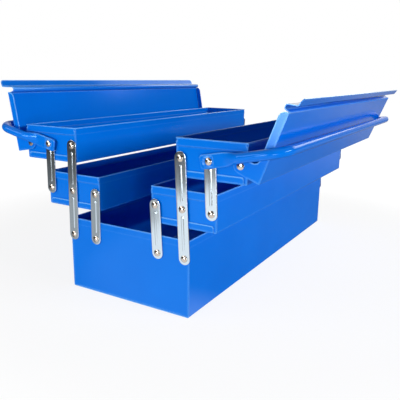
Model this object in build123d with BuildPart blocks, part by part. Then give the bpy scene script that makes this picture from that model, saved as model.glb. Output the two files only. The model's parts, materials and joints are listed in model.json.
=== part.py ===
"""Cantilever tool box: a steel box with two folding trays, a lid and a handle on each side.

Millimetres, +Z up. X runs along the box and Y across it, and the origin is the centre of the
underside. "front" is the -Y side and "rear" the +Y side, "left" the -X end and "right" the +X end.
A stage counts upward: 0 is the box, 1 a middle tray, 2 a top tray. A row counts a bin's rivet
holes inward from its outer long wall. The model stands half unfolded, with its lids thrown open.
"""

from build123d import *

import os
from math import atan2, cos, degrees, hypot, radians, sin

# Bins
BOX_LENGTH = 530.0
BOX_WIDTH = 200.0
BOX_HEIGHT = 105.0
TRAY_WIDTH = 95.5
TRAY_HEIGHT = 48.3
STACK_GAP = 0.5  # between a rim and the tray folded down onto it
SHEET = 1.0
BEND = 2.0  # outer radius of a fold
RIM_HEM = 9.0  # depth of the hems along the long walls
END_HEM = 10.0  # depth of the hems across the ends
HEM_ROUND = 0.9
TAB_HEIGHT = 9.0  # floor tab turned up outside a tray's end
TAB_INSET = 4.0
TAB_CHAMFER = 2.0
FLANGE = 10.0  # depth of the flanges folded in behind an end panel
RELIEF_RADIUS = 1.3  # corner reliefs, open to the edges of the tray end hems
RELIEF_INSET = 0.7
RELIEF_DROP = 3.2

# Linkage
HOLE_INSET = 6.4  # outermost rivet hole from the outer long wall
HOLE_PITCH = 41.2
HOLE_HEIGHT = 23.9  # above a tray's underside
LEAN = {"front": 3.1, "rear": 1.05}  # inward lean of the links as drawn, in degrees
LINK_WIDTH = 16.0
LINK_SHEET = 1.5
LINK_FACE = BOX_LENGTH / 2 + 0.4  # inner face of every link, from the middle of the box
RIB_WIDTH = 4.0
RIB_HEIGHT = 0.7
RIB_END_GAP = 9.0  # from a rivet's centre to the end of the pressed rib
RIB_WALL = 1.0

# Rivets
SHANK_RADIUS = 2.5
RUNNING_FIT = 0.08
END_PLAY = 0.05
SHOULDER_RADIUS = 4.0
INNER_HEAD = 1.2
HEAD_RADIUS = 4.6
HEAD_HEIGHT = 2.2
LID_HEAD_HEIGHT = 1.5

# Lids, drawn in their own section: v runs up the panel from its outer edge, n stands on its top
LID_OPEN = {"front": 110.7, "rear": 100.0}  # degrees from shut
LID_PIVOT_INSET = 8.3  # from the tray's outer wall
LID_PIVOT_HEIGHT = 22.0  # above the tray's underside
LID_GAP = 1.6  # panel above the rim, shut, so that it swings clear of the rim's outer corner
LID_SKIRT_GAP = 0.3  # skirt outside the tray's wall, shut
LID_SKIRT = 16.2
LID_PANEL = 86.5
CHEEK_FACE = BOX_LENGTH / 2 + 0.3
CHEEK_DEPTH = 10.0
CHEEK_OUTER_DEPTH = 19.2
CHEEK_CORNER = 8.5
EAR_RADIUS = 9.0
EAR_BLEND = 7.0
EAR_REACH = 20.0  # along the panel, from its outer edge to the root of the ear
EAR_ROOT = 2.0  # the ear's root below the panel's top
GUTTER_DEPTH = 7.7
GUTTER_WIDTH = 4.6
GUTTER_RADIUS = 2.2
GUTTER_SLOPE = 1.0  # the gutter's first wall leans this far along the panel
GUTTER_END_GAP = 0.6  # from the gutter's cut end to the tray's end panel
GUTTER_CUT = 14.5  # length along the panel that is cut away there, the fold included
LIP_TOP = {"front": (96.3, 6.4), "rear": (95.6, 10.1)}  # where the upstand folds over
LIP_EDGE = {"front": (105.0, 8.9), "rear": (105.5, 12.8)}
LIP_CORNER = 5.0

# Handles
TUBE_RADIUS = 6.0
HANDLE_REACH = 95.0  # from the pivot to the grip's axis
HANDLE_RISE = {"front": 11.5, "rear": 12.5}  # degrees above level
LEG_X = 276.0
HANDLE_BEND = 22.0  # of the tube's axis; a wider bend touches the lid's cheek
FLAT_WIDTH = 17.5
FLAT_THICKNESS = 2.4
FLAT_FACE = 267.9
FLAT_TIP = 12.0
FLAT_LENGTH = 17.0
FLAT_TIP_ROUND = 8.0
NECK_END = 46.0
NEARLY_ROUND = 0.01  # keeps short flats between the corners, so that both ends of a neck match
DIMPLE_RADIUS = 6.6
DIMPLE_DEPTH = 0.4

SIDES = {"front": -1, "rear": 1}
ENDS = {"left": -1, "right": 1}
HALF_LENGTH = BOX_LENGTH / 2
TRAY_FACE = HALF_LENGTH - SHEET  # outer face of a tray's end panel, behind its hem and tab
LINK_SPAN = hypot(HOLE_PITCH, TRAY_HEIGHT + STACK_GAP)
BOX_HOLE_HEIGHT = BOX_HEIGHT + HOLE_HEIGHT - TRAY_HEIGHT


# Places


def outer_face(side, stage):
    """Distance of a bin's outer long wall from the middle plane."""
    step = HOLE_PITCH - LINK_SPAN * sin(radians(LEAN[side]))
    return BOX_WIDTH / 2 + stage * step


def hole_height(side, stage):
    """Height of a bin's row of rivet holes."""
    return BOX_HOLE_HEIGHT + stage * LINK_SPAN * cos(radians(LEAN[side]))


def pivot(side, stage, row):
    """Centre (y, z) of one rivet hole."""
    inset = HOLE_INSET + row * HOLE_PITCH
    return SIDES[side] * (outer_face(side, stage) - inset), hole_height(side, stage)


def lid_pivot(side):
    """Centre (y, z) of a lid's pivot rivets on its top tray."""
    height = hole_height(side, 2) - HOLE_HEIGHT + LID_PIVOT_HEIGHT
    return SIDES[side] * (outer_face(side, 2) - LID_PIVOT_INSET), height


def tray_centre(side, stage):
    """Middle of a tray (y) and its underside (z)."""
    centre = SIDES[side] * (outer_face(side, stage) - TRAY_WIDTH / 2)
    return centre, hole_height(side, stage) - HOLE_HEIGHT


def end_plane(end, distance):
    """Plane square to X, facing out of the box; its local x is y at the right and -y at the left."""
    sign = ENDS[end]
    return Plane(origin=(sign * distance, 0, 0), x_dir=(0, sign, 0), z_dir=(sign, 0, 0))


def seen_from(end, points):
    """Points given as (y, z), turned into an end plane's own x and y."""
    return [(ENDS[end] * y, z) for y, z in points]


def save(builder, name):
    """Label a finished piece and write it."""
    builder.part.label = name
    export_step(builder.part, f"parts/{name}.step")


# Bins


def trough(centre, underside, width, height, half_length):
    """Long sheet folded up into a floor and two walls, with its rims hemmed inward."""
    top = underside + height
    with BuildSketch(Plane.YZ) as section:
        with Locations((centre, underside)):
            Rectangle(width, height, align=(Align.CENTER, Align.MIN))
        fillet(section.vertices().group_by(Axis.Y)[0], BEND)
        with BuildSketch(mode=Mode.SUBTRACT) as hollow:
            with Locations((centre, underside + SHEET)):
                Rectangle(width - 2 * SHEET, height, align=(Align.CENTER, Align.MIN))
            fillet(hollow.vertices().group_by(Axis.Y)[0], BEND - SHEET)
        hem_offset = width / 2 - 1.5 * SHEET
        with Locations((centre - hem_offset, top), (centre + hem_offset, top)):
            Rectangle(SHEET, RIM_HEM, align=(Align.CENTER, Align.MAX))
        fillet(section.vertices().group_by(Axis.Y)[-1], HEM_ROUND)
    extrude(section.sketch, amount=half_length, both=True)


def box_body():
    """Front wall, floor and rear wall of the box in one sheet."""
    with BuildPart() as body:
        trough(0, 0, BOX_WIDTH, BOX_HEIGHT, HALF_LENGTH)
    save(body, "box_body")


def end_plate(middle, top, width, height):
    """Outline of an end panel's plate, notched for the hems of the long walls."""
    with Locations((middle, top - height / 2)):
        RectangleRounded(width, height, BEND - SHEET)
    notch = (width - SHEET) / 2
    with Locations((middle - notch, top), (middle + notch, top)):
        Rectangle(SHEET, RIM_HEM, align=(Align.CENTER, Align.MAX), mode=Mode.SUBTRACT)


def round_rim(panel):
    """Round the two long edges along an end panel's hemmed rim."""
    rims = panel.edges().filter_by(Axis.Y).group_by(Axis.Z)[-1].sort_by(Axis.X)
    fillet([rims[0], rims[-1]], HEM_ROUND)


def box_end(end):
    """End of the box, hemmed inward, with flanges welded to the walls and floor."""
    inner_width = BOX_WIDTH - 2 * SHEET
    holes = [pivot(side, 0, row) for side in SIDES for row in (0, 1)]
    with BuildPart() as panel:
        with BuildSketch(end_plane(end, HALF_LENGTH - SHEET)):
            end_plate(0, BOX_HEIGHT, inner_width, BOX_HEIGHT - SHEET)
            with Locations(*seen_from(end, holes)):
                Circle(SHANK_RADIUS + RUNNING_FIT, mode=Mode.SUBTRACT)
        extrude(amount=SHEET)
        with BuildSketch(end_plane(end, HALF_LENGTH - SHEET)):
            with Locations((0, BOX_HEIGHT)):
                Rectangle(inner_width - 2 * SHEET, RIM_HEM, align=(Align.CENTER, Align.MAX))
        extrude(amount=-SHEET)
        with BuildSketch(end_plane(end, HALF_LENGTH - SHEET)):
            flange_height = BOX_HEIGHT - RIM_HEM - 2 * BEND
            flange_offset = (inner_width - SHEET) / 2
            with Locations((-flange_offset, 2 * SHEET), (flange_offset, 2 * SHEET)):
                Rectangle(SHEET, flange_height, align=(Align.CENTER, Align.MIN))
            with Locations((0, SHEET)):
                Rectangle(inner_width - 2 * FLANGE, SHEET, align=(Align.CENTER, Align.MIN))
        extrude(amount=-FLANGE)
        round_rim(panel)
    save(panel, f"box_end_{end}")


def tray_body(side, stage, name):
    """Walls and floor of a tray, with the floor's tabs turned up outside both ends."""
    centre, underside = tray_centre(side, stage)
    with BuildPart() as body:
        trough(centre, underside, TRAY_WIDTH, TRAY_HEIGHT, TRAY_FACE)
        for end in ENDS:
            with BuildSketch(end_plane(end, TRAY_FACE)) as tab:
                with Locations((ENDS[end] * centre, underside)):
                    tab_width = TRAY_WIDTH - 2 * TAB_INSET
                    Rectangle(tab_width, TAB_HEIGHT, align=(Align.CENTER, Align.MIN))
                chamfer(tab.vertices().group_by(Axis.Y)[-1], TAB_CHAMFER)
            extrude(amount=SHEET)
        tab_folds = body.edges().filter_by(Axis.Y).group_by(Axis.Z)[0]
        fillet(tab_folds.sort_by(Axis.X)[0], HEM_ROUND)
        tab_folds = body.edges().filter_by(Axis.Y).group_by(Axis.Z)[0]
        fillet(tab_folds.sort_by(Axis.X)[-1], HEM_ROUND)
    save(body, name)


def tray_end(side, stage, end, name):
    """End of a tray: pierced plate, hem folded outward over the corners, side flanges inside."""
    centre, underside = tray_centre(side, stage)
    middle = ENDS[end] * centre
    top = underside + TRAY_HEIGHT
    inner_width = TRAY_WIDTH - 2 * SHEET
    holes = [pivot(side, stage, row) for row in range(3)]
    if stage == 2:
        holes = [pivot(side, 2, 1), pivot(side, 2, 2), lid_pivot(side)]
    with BuildPart() as panel:
        with BuildSketch(end_plane(end, TRAY_FACE - SHEET)):
            end_plate(middle, top, inner_width, TRAY_HEIGHT - SHEET)
            with Locations(*seen_from(end, holes)):
                Circle(SHANK_RADIUS + RUNNING_FIT, mode=Mode.SUBTRACT)
        extrude(amount=SHEET)
        with BuildSketch(end_plane(end, TRAY_FACE)):
            with Locations((middle, top)):
                Rectangle(TRAY_WIDTH, END_HEM, align=(Align.CENTER, Align.MAX))
            relief = TRAY_WIDTH / 2 - RELIEF_INSET
            with Locations((middle - relief, top - RELIEF_DROP), (middle + relief, top - RELIEF_DROP)):
                Circle(RELIEF_RADIUS, mode=Mode.SUBTRACT)
        extrude(amount=SHEET)
        with BuildSketch(end_plane(end, TRAY_FACE - SHEET)):
            flange_height = TRAY_HEIGHT - RIM_HEM - 2 * BEND
            offset_y = (inner_width - SHEET) / 2
            with Locations((middle - offset_y, underside + BEND), (middle + offset_y, underside + BEND)):
                Rectangle(SHEET, flange_height, align=(Align.CENTER, Align.MIN))
        extrude(amount=-FLANGE)
        round_rim(panel)
    save(panel, name)


# Rivets


def disc(end, points, radius, near, far):
    """Round discs about the given (y, z) points, between two distances from the middle."""
    with BuildSketch(end_plane(end, near)) as circles:
        with Locations(*seen_from(end, points)):
            Circle(radius)
    extrude(circles.sketch, amount=far - near)


def rivets(points, wall_face, seat, grip, head_height):
    """Rivets at both ends: a closed head inside, a shoulder up to the seat and a domed head.

    wall_face is the outer face of the wall that holds them, seat the inner face of the first
    turning piece and grip the outer face of the last.
    """
    for end in ENDS:
        disc(end, points, SHOULDER_RADIUS, wall_face - SHEET - INNER_HEAD, wall_face - SHEET)
        disc(end, points, SHANK_RADIUS, wall_face - SHEET, grip + END_PLAY)
        disc(end, points, SHOULDER_RADIUS, wall_face, seat - END_PLAY)
        domes(end, points, grip + END_PLAY, head_height)


def domes(end, points, base, height):
    """Domed rivet heads, each a slice of a ball."""
    ball = (HEAD_RADIUS**2 + height**2) / (2 * height)
    sign = ENDS[end]
    for y, z in points:
        along = Plane(origin=(sign * base, y, z), x_dir=(sign, 0, 0), z_dir=(0, 1, 0))
        with BuildSketch(along) as half_head:
            with BuildLine():
                outline = Polyline((height, 0), (0, 0), (0, HEAD_RADIUS))
                RadiusArc(outline @ 1, outline @ 0, ball)
            make_face()
        revolve(half_head.sketch, axis=Axis((0, y, z), (1, 0, 0)))


def box_rivets():
    """Rivets of the box that carry the long and the lower links."""
    with BuildPart() as group:
        points = [pivot(side, 0, row) for side in SIDES for row in (0, 1)]
        rivets(points, HALF_LENGTH, LINK_FACE, LINK_FACE + LINK_SHEET, HEAD_HEIGHT)
    save(group, "box_rivets")


def middle_rivets(side):
    """Rivets of a middle tray: upper link, long link and lower link."""
    with BuildPart() as group:
        points = [pivot(side, 1, row) for row in range(3)]
        rivets(points, TRAY_FACE, LINK_FACE, LINK_FACE + LINK_SHEET, HEAD_HEIGHT)
    save(group, f"{side}_middle_rivets")


def top_rivets(side):
    """Rivets of a top tray: the long link's, and the one shared by the upper link and the handle."""
    shared = [pivot(side, 2, 1)]
    with BuildPart() as group:
        rivets([pivot(side, 2, 2)], TRAY_FACE, LINK_FACE, LINK_FACE + LINK_SHEET, HEAD_HEIGHT)
        handle_seat = FLAT_FACE + FLAT_THICKNESS - DIMPLE_DEPTH
        rivets(shared, TRAY_FACE, LINK_FACE, handle_seat, HEAD_HEIGHT)
        for end in ENDS:
            disc(end, shared, SHOULDER_RADIUS, LINK_FACE + LINK_SHEET + END_PLAY, FLAT_FACE - END_PLAY)
    save(group, f"{side}_top_rivets")


def lid_rivets(side):
    """Pivot rivets of a lid."""
    with BuildPart() as group:
        rivets([lid_pivot(side)], TRAY_FACE, CHEEK_FACE, CHEEK_FACE + SHEET, LID_HEAD_HEIGHT)
    save(group, f"{side}_lid_rivets")


# Links


def bar_slot(end, low, high, trim, width):
    """Slot outline along the line from low to high, shortened at both ends by trim."""
    run = ENDS[end] * (high[0] - low[0])
    rise = high[1] - low[1]
    middle = ((low[0] + high[0]) / 2, (low[1] + high[1]) / 2)
    with Locations(*seen_from(end, [middle])):
        SlotCenterToCenter(hypot(run, rise) - 2 * trim, width, rotation=degrees(atan2(rise, run)))


def link(end, holes, name):
    """Flat steel link with a rib pressed outward between each pair of holes."""
    with BuildPart() as bar:
        with BuildSketch(end_plane(end, LINK_FACE)):
            bar_slot(end, holes[0], holes[-1], 0, LINK_WIDTH)
            with Locations(*seen_from(end, holes)):
                Circle(SHANK_RADIUS + RUNNING_FIT, mode=Mode.SUBTRACT)
        extrude(amount=LINK_SHEET)
        for low, high in zip(holes, holes[1:]):
            with BuildSketch(end_plane(end, LINK_FACE + LINK_SHEET)):
                bar_slot(end, low, high, RIB_END_GAP + RIB_WIDTH / 2, RIB_WIDTH)
            extrude(amount=RIB_HEIGHT, taper=30)
            with BuildSketch(end_plane(end, LINK_FACE)):
                bar_slot(end, low, high, RIB_END_GAP + RIB_WIDTH / 2, RIB_WIDTH - 2 * RIB_WALL)
            extrude(amount=RIB_HEIGHT, mode=Mode.SUBTRACT)
    save(bar, name)


# Lids


def lid_plane(side, distance):
    """Section plane of an open lid at a distance along X: x is v, y is n."""
    swing = radians(LID_OPEN[side])
    sign = SIDES[side]
    up_panel = Vector(0, -sign * cos(swing), sin(swing))
    normal = Vector(-sign, 0, 0)
    off_panel = normal.cross(up_panel)
    pivot_v, pivot_n = lid_section_pivot()
    y, z = lid_pivot(side)
    corner = Vector(0, y, z) - up_panel * pivot_v - off_panel * pivot_n
    return Plane(origin=corner, x_dir=up_panel, z_dir=normal).offset(distance)


def lid_section_pivot():
    """The pivot in the lid's own section."""
    pivot_v = LID_PIVOT_INSET + LID_SKIRT_GAP + SHEET
    pivot_n = LID_PIVOT_HEIGHT - TRAY_HEIGHT - LID_GAP - SHEET
    return pivot_v, pivot_n


def lid(side):
    """Lid of one sheet: skirt, panel, gutter inside the tray's wall, and a lip over the middle gap."""
    cheek_outer = CHEEK_FACE + SHEET
    gutter_start = LID_PANEL + GUTTER_SLOPE
    gutter_end = TRAY_FACE - SHEET - GUTTER_END_GAP
    with BuildPart() as shell:
        with BuildSketch(lid_plane(side, 0)):
            with BuildLine():
                FilletPolyline(
                    (0, -LID_SKIRT),
                    (0, 0),
                    (LID_PANEL, 0),
                    (gutter_start, -GUTTER_DEPTH),
                    (gutter_start + GUTTER_WIDTH, -GUTTER_DEPTH),
                    LIP_TOP[side],
                    LIP_EDGE[side],
                    radius=[1.5, 2.0, GUTTER_RADIUS, GUTTER_RADIUS, 1.6],
                )
                offset(amount=SHEET, side=Side.RIGHT)
            make_face()
        extrude(amount=cheek_outer, both=True)
        for distance in (-cheek_outer, gutter_end):
            with BuildSketch(lid_plane(side, distance)):
                with Locations((LID_PANEL - SHEET - BEND, -SHEET)):
                    Rectangle(GUTTER_CUT, 2 * GUTTER_DEPTH, align=(Align.MIN, Align.MAX))
            extrude(amount=cheek_outer - gutter_end, mode=Mode.SUBTRACT)
        for distance in (-cheek_outer, CHEEK_FACE):
            cheek(side, distance)
        sheet_edges = shell.edges().filter_by(lambda edge: edge.length < 1.5 * SHEET)
        for distance in (-cheek_outer, cheek_outer):
            tip = lid_plane(side, distance).from_local_coords((*LIP_EDGE[side], 0))
            fillet(sheet_edges.sort_by_distance(tip)[0], LIP_CORNER)
    save(shell, f"{side}_lid")


def cheek(side, distance):
    """End cheek of a lid, with the ear that turns on the pivot rivet."""
    with BuildSketch(lid_plane(side, distance)) as outline:
        with BuildSketch() as strip:
            with Locations((SHEET / 2, 0)):
                Rectangle(LID_PANEL - SHEET, CHEEK_DEPTH, align=(Align.MIN, Align.MAX))
            fillet(strip.vertices().group_by(Axis.Y)[0].sort_by(Axis.X)[-1], CHEEK_CORNER)
        with BuildSketch():
            with BuildLine():
                pivot_v, pivot_n = lid_section_pivot()
                Polyline((0, -CHEEK_OUTER_DEPTH), (0, -EAR_ROOT), (EAR_REACH, -EAR_ROOT))
                CenterArc((pivot_v, pivot_n), EAR_RADIUS, 0, 360)
            make_hull()
        strip_meets_ear = (EAR_REACH, -CHEEK_DEPTH)
        fillet(outline.vertices().sort_by_distance(strip_meets_ear)[0], EAR_BLEND)
        with Locations(lid_section_pivot()):
            Circle(SHANK_RADIUS + RUNNING_FIT, mode=Mode.SUBTRACT)
    extrude(outline.sketch, amount=SHEET)


# Handles


def handle_plane(side):
    """Plane of a handle: x runs along the box, y from the pivot axis out to the grip."""
    y, z = pivot(side, 2, 1)
    rise = radians(HANDLE_RISE[side])
    outward = Vector(0, SIDES[side] * cos(rise), sin(rise))
    normal = Vector(1, 0, 0).cross(outward)
    return Plane(origin=(0, y, z), x_dir=(1, 0, 0), z_dir=normal)


def section_across(plane, x, reach):
    """Plane square to a handle's leg at a distance from its pivot."""
    origin = plane.from_local_coords((x, reach, 0))
    return Plane(origin=origin, x_dir=plane.x_dir, z_dir=plane.y_dir)


def handle(side):
    """Round tube bent to a U, its ends flattened and pierced for the rivets."""
    plane = handle_plane(side)
    flat_middle = FLAT_FACE + FLAT_THICKNESS / 2
    with BuildPart() as bail:
        with BuildLine(plane):
            corners = [(-LEG_X, NECK_END), (-LEG_X, HANDLE_REACH), (LEG_X, HANDLE_REACH), (LEG_X, NECK_END)]
            FilletPolyline(*corners, radius=HANDLE_BEND)
        with BuildSketch(section_across(plane, -LEG_X, NECK_END)):
            Circle(TUBE_RADIUS)
        sweep()
        for sign in ENDS.values():
            with BuildSketch(section_across(plane, sign * LEG_X, NECK_END)):
                RectangleRounded(2 * TUBE_RADIUS, 2 * TUBE_RADIUS, TUBE_RADIUS - NEARLY_ROUND)
            with BuildSketch(section_across(plane, sign * flat_middle, FLAT_LENGTH)):
                RectangleRounded(FLAT_THICKNESS, FLAT_WIDTH, FLAT_THICKNESS / 2 - NEARLY_ROUND)
            loft()
            flat_end(plane, sign, flat_middle)
    save(bail, f"{side}_handle")


def flat_end(plane, sign, flat_middle):
    """Flattened end of a handle, with a dimple pressed round its rivet."""
    across = Plane(origin=plane.from_local_coords((sign * (flat_middle - FLAT_THICKNESS / 2), 0, 0)),
                   x_dir=plane.y_dir, z_dir=plane.x_dir * sign)
    with BuildSketch(across) as blade:
        with Locations((-FLAT_TIP, 0)):
            Rectangle(FLAT_TIP + FLAT_LENGTH, FLAT_WIDTH, align=(Align.MIN, Align.CENTER))
        fillet(blade.vertices().group_by(Axis.X)[0], FLAT_TIP_ROUND)
    extrude(blade.sketch, amount=FLAT_THICKNESS)
    with BuildSketch(across) as hole:
        Circle(SHANK_RADIUS + RUNNING_FIT)
    extrude(hole.sketch, amount=FLAT_THICKNESS, mode=Mode.SUBTRACT)
    with BuildSketch(across.offset(FLAT_THICKNESS - DIMPLE_DEPTH)) as dimple:
        Circle(DIMPLE_RADIUS)
    extrude(dimple.sketch, amount=DIMPLE_DEPTH, mode=Mode.SUBTRACT)


def tool_box():
    """Write every piece of the tool box."""
    box_body()
    box_rivets()
    for end in ENDS:
        box_end(end)
    for side in SIDES:
        for stage, word in ((1, "middle"), (2, "top")):
            tray_body(side, stage, f"{side}_{word}_tray")
            for end in ENDS:
                tray_end(side, stage, end, f"{side}_{word}_tray_end_{end}")
        middle_rivets(side)
        top_rivets(side)
        lid_rivets(side)
        for end in ENDS:
            link(end, [pivot(side, stage, stage) for stage in range(3)], f"{side}_long_link_{end}")
            link(end, [pivot(side, 0, 1), pivot(side, 1, 2)], f"{side}_lower_link_{end}")
            link(end, [pivot(side, 1, 0), pivot(side, 2, 1)], f"{side}_upper_link_{end}")
        lid(side)
        handle(side)


os.makedirs("parts", exist_ok=True)
tool_box()
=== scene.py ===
"""Looks of the cantilever tool box: powder-coated sheet, plated links and rivets, bent handles.

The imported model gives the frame: metres, +Z up, X along the box, the near end at -X and the
front trays at -Y. New pieces are grids worked out with numpy around it.
"""

import json
from math import cos, hypot, pi, radians, sin

import bmesh
import bpy
import numpy as np
from mathutils import Matrix, Vector

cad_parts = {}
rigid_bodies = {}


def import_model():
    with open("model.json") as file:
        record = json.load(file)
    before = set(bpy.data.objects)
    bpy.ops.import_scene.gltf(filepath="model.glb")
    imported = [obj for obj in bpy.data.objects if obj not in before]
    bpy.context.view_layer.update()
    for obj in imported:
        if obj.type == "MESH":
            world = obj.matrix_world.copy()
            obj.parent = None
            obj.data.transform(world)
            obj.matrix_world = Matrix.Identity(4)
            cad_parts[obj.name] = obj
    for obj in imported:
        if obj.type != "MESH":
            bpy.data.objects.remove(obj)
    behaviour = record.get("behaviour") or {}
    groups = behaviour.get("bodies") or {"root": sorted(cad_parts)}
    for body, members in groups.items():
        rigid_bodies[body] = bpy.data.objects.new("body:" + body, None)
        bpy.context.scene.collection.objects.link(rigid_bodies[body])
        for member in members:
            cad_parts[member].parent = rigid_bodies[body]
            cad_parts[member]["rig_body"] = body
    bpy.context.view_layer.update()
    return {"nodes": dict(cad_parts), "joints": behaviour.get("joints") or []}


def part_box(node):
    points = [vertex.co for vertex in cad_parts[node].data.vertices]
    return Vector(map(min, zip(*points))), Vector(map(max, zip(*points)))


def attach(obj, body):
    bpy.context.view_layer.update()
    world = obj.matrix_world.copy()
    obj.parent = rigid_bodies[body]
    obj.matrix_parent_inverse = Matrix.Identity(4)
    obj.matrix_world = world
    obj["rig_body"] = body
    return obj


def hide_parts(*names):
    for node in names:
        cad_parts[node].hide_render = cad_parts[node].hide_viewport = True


bl_info = {
    "name": "Cantilever Tool Box",
    "version": (1, 0, 0),
    "blender": (4, 5, 0),
    "location": "View3D > Sidebar > Tool Box",
    "description": "Finishes and detail for a folding steel tool box",
    "category": "Object",
}

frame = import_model()

MM = 0.001
SIDES = {"front": -1, "rear": 1}
ENDS = {"left": -1, "right": 1}
PAINT_SLOT = "blue_paint"
PLATE_SLOT = "plated_steel"

# Sizes shared with the construction
PANEL_SHEET = 1.0 * MM
BOX_FACE = 265.0 * MM
TRAY_FACE = 264.0 * MM
LINK_FACE = 265.4 * MM
CHEEK_FACE = 265.3 * MM
LINK_WIDTH = 16 * MM
LINK_SHEET = 1.5 * MM
RIB_START = 11 * MM
SHANK_RADIUS = 2.5 * MM
SHOULDER_RADIUS = 4.0 * MM
HEAD_RADIUS = 4.6 * MM
INNER_HEAD = 1.2 * MM
INNER_HEAD_ROUND = 0.4 * MM
END_PLAY = 0.05 * MM
HOLE_RADIUS = 2.58 * MM
HOLE_STEPS = (0, 0.15, 0.4, 0.7, 1)
FLAT_WIDTH = 17.5 * MM
FLAT_THICKNESS = 2.4 * MM
FLAT_MIDDLE = 269.1 * MM
FLAT_TIP = 12.0 * MM
FLAT_LENGTH = 17.0 * MM
ROUND_START = 15.0 * MM
NECK_END = 46.0 * MM
TUBE_RADIUS = 6.0 * MM
HANDLE_BEND = 22.0 * MM

# Faces of a link: how far off a rib's line its flank ends and begins, and the face's own height
LINK_OUTSIDE = (1.95 * MM, 1.15 * MM, LINK_SHEET)
LINK_INSIDE = (1.35 * MM, 0.55 * MM, 0.0)

# Head of a rivet: share of its height in the rim, round of the rim, width of the slope under it,
# how far in the crown starts, and the flat sides that stand for a round
RIM_SHARE = 0.35
RIM_ROUND = 0.2 * MM
RIM_UNDERCUT = 0.3 * MM
CROWN_INSET = 0.12 * MM
RIVET_SEGMENTS = 36

# Tip of a handle: half side of the square that the hole's cell fills, and the radii of the floor
# and the edge of the dish about the hole
HOLE_BLOCK = 6 * MM
DISH_FLOOR = 6.2 * MM
DISH_EDGE = 7.2 * MM

# Points this close become one, in the new pieces and in the sheets' loose facets
MERGE = 1e-6
SHEET_WELD = 5e-6

# Angle in degrees past which an edge stays sharp, or is rounded on a sheet
SHARP_LINK = 40
SHARP_RIVET = 50
SHARP_HANDLE = 60
SHARP_SHEET = 50

# Paint: cosine of the turn and share of open sky where the painted edge highlight and the painted
# crease shade start and are full, how far up a full highlight's mean faces, the share of the
# painted highlight on the other edges, and the film's refraction and gloss
EDGE_TURN = {"From Min": 0.99, "From Max": 0.9}
CREASE_SKY = {"From Min": 0.85, "From Max": 0.45}
EDGE_FACES_UP = 0.3
LOW_EDGE_SHARE = 0.25
PAINT_IOR = 1.5
PAINT_GLOSS = 0.4

# Plate: least and greatest roughness against the setting
ZINC_SPREAD = (-0.05, 0.08)
NICKEL_SPREAD = (-0.04, 0.08)

# Light that the floor shows in reflections: centre, full radius, outer radius, brightness of both
MIRRORED_POOLS = (
    ((-0.53, -0.11, 0.0), 0.27, 0.37, 0.95, 0.02),
    ((-0.6, 0.3, 0.0), 0.25, 0.4, 0.35, 0.02),
    ((-0.95, 0.1, 0.0), 0.15, 0.22, 1.0, 0.02),
    ((-0.82, 0.1, 0.0), 0.17, 0.23, 1.0, 0.02),
    ((1.6, -0.5, 0.0), 0.3, 1.2, 0.22, 0.03),
)

# Floor: half its side, its grey to the lamps, and its white to the camera, a little less near the
# box than far from it
FLOOR_HALF = 6.0
FLOOR_GREY = "7A7A7A"
FLOOR_ROUGHNESS = 0.9
FLOOR_WHITE = {"From Min": 0.4, "From Max": 0.8, "To Min": 0.86, "To Max": 1.0}

# Sky in reflections: the level direction of its backdrop, the backdrop's strength by the cosine
# from there, and the top's strength by height
BACKDROP_DIRECTION = (0.84, 0.5, 0.0)
BACKDROP = {"From Min": 0.55, "From Max": 0.95, "To Min": 0.03, "To Max": 1.0}
SKY_TOP = {"From Min": 0.35, "From Max": 0.9, "To Min": 0.0, "To Max": 0.5}

# Lamps: place, aim, width, height, and the setting that holds the power
LAMPS = {
    "left_soft_box": ((-1.55, 0.12, 0.22), (0, -0.1, 0.16), 0.42, 0.34, "left_power"),
    "front_soft_box": ((0.2, -2.75, 0.97), (0, 0, 0.25), 1.6, 0.3, "front_power"),
    "key_soft_box": ((-0.95, -0.7, 0.14), (0, 0, 0.16), 0.25, 0.24, "key_power"),
    "right_rim_box": ((1.7, -0.3, 1.0), (0, 0, 0.2), 1.8, 0.7, "right_rim_power"),
    "left_rim_box": ((-1.1, 0.75, 0.75), (0, 0, 0.2), 0.9, 0.35, "left_rim_power"),
}

# Camera that was fitted to the photograph: azimuth, elevation and roll in degrees, what it looks
# at, how far off it stands, and the width of its sensor in millimetres
CAMERA_TURN = (-59.508, 13.980, 0.769)
CAMERA_TARGET = (-77.46 * MM, -4.03 * MM, 105.33 * MM)
CAMERA_DISTANCE = 0.8208
SENSOR_WIDTH = 36.0


# Reading places from the frame


def joint_at(name):
    """Pivot (y, z) of a joint."""
    for joint in frame["joints"]:
        if joint["name"] == name:
            return np.array(joint["pos_m"][1:])
    raise ValueError(f"no joint named {name}")


def nodes_named(*words):
    """Names of the CAD nodes that hold any of the words."""
    return [name for name in sorted(frame["nodes"]) if any(word in name for word in words)]


def body_of_node(node):
    """Body that carries a CAD node."""
    return frame["nodes"][node]["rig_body"]


# Mesh helpers


def add_piece(name, mesh, material):
    """Object at the origin that shows a mesh, smooth shaded."""
    mesh.polygons.foreach_set("use_smooth", np.ones(len(mesh.polygons), bool))
    mesh.materials.append(material)
    piece = bpy.data.objects.new(name, mesh)
    bpy.context.scene.collection.objects.link(piece)
    return piece


def grid_faces(rows, columns, wrap_columns=False):
    """Quads of a grid whose point (i, j) has index i * columns + j, joined round where asked."""
    across = np.arange(columns if wrap_columns else columns - 1)
    low, here = np.meshgrid(np.arange(rows - 1) * columns, across, indexing="ij")
    high, beside = low + columns, (here + 1) % columns
    corners = (low + here, high + here, high + beside, low + beside)
    return np.stack(corners, axis=-1).reshape(-1, 4)


# Colours and material nodes


def linear_colour(code):
    """Linear RGBA of an sRGB hex code such as 1A5FD8."""
    parts = np.array([int(code[k : k + 2], 16) for k in (0, 2, 4)]) / 255
    low = parts / 12.92
    high = ((parts + 0.055) / 1.055) ** 2.4
    return (*np.where(parts <= 0.04045, low, high).tolist(), 1.0)


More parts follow.
